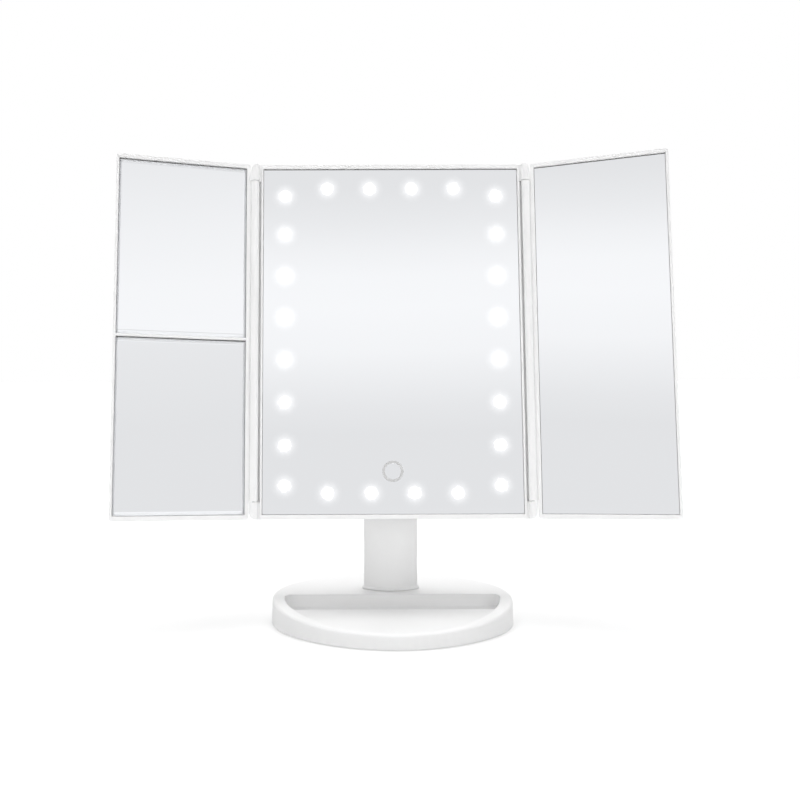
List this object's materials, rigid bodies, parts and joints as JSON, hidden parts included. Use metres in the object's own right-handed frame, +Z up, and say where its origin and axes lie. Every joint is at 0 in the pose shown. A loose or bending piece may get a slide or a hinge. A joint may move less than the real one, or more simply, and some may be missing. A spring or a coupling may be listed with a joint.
{
  "type": "trifold vanity mirror",
  "caption": "Lighted tabletop vanity mirror with a centre pane, two folding side panels, a tilting head and an oval tray base.",
  "frame": {"origin": "on the table under the middle of the oval base", "axes": "+Z up, the user stands at -Y and looks along +Y, +X to the user's right"},
  "size_m": [0.3375, 0.115, 0.2909],
  "materials": {
    "white_plastic": "satin moulded white",
    "mirror_glass": "silvered glass",
    "steel": "plain steel",
    "rubber": "dark rubber",
    "foam_tape": "white foam tape",
    "lens": "frosted clear plastic",
    "led": "lamp chip",
    "board_white": "white circuit board",
    "board_green": "green circuit board",
    "copper": "copper foil",
    "cell_wrap": "wrapped battery cell",
    "dark_plastic": "black plastic"
  },
  "bodies": {
    "stand": {"base_shell": "white_plastic", "base_plate": "white_plastic", "base_weight": "steel", "base_feet": "rubber", "base_screws_set": "steel", "stem": "white_plastic", "stem_screws": "steel"},
    "head": {"tilt_axle": "steel", "tilt_nut": "steel", "tilt_washers": "rubber", "center_frame": "white_plastic", "center_mirror": "mirror_glass", "center_tape": "foam_tape", "led_lenses": "lens", "leds": "led", "led_board": "board_white", "touch_pad": "copper", "touch_spring": "steel", "control_board": "board_green", "rear_housing": "white_plastic", "housing_screws": "steel", "batteries": "cell_wrap", "battery_contacts": "steel", "switch_body": "dark_plastic", "charging_socket": "steel", "hinge_pins_left": "steel", "hinge_pins_right": "steel"},
    "left_wing": {"left_frame": "white_plastic", "left_mirror_upper": "mirror_glass", "left_mirror_lower": "mirror_glass", "left_tape": "foam_tape", "left_back": "white_plastic"},
    "right_wing": {"right_frame": "white_plastic", "right_mirror": "mirror_glass", "right_tape": "foam_tape", "right_back": "white_plastic"},
    "battery_cover": {"battery_door": "white_plastic"},
    "switch_slider": {"power_switch": "dark_plastic"}
  },
  "joints": [
    {"name": "head_tilt", "type": "hinge", "parent": "stand", "child": "head", "pos_m": [0, 0.017, 0.14], "axis": [-1, 0, 0], "range_deg": [-9, 81]},
    {"name": "left_wing_hinge", "type": "hinge", "parent": "head", "child": "left_wing", "pos_m": [-0.0853, 0.00225, 0.17727], "axis": [0, 0.1564, 0.9877], "range_deg": [-14.5, 165.5]},
    {"name": "right_wing_hinge", "type": "hinge", "parent": "head", "child": "right_wing", "pos_m": [0.0853, 0.00225, 0.17727], "axis": [0, -0.1564, -0.9877], "range_deg": [-18.5, 161.5]},
    {"name": "battery_cover_slide", "type": "slide", "parent": "head", "child": "battery_cover", "axis": [0, 0.1564, 0.9877], "range_m": [0, 0.012]},
    {"name": "power_switch_slide", "type": "slide", "parent": "head", "child": "switch_slider", "axis": [0, 0.9877, -0.1564], "range_m": [0, 0.003]}
  ]
}
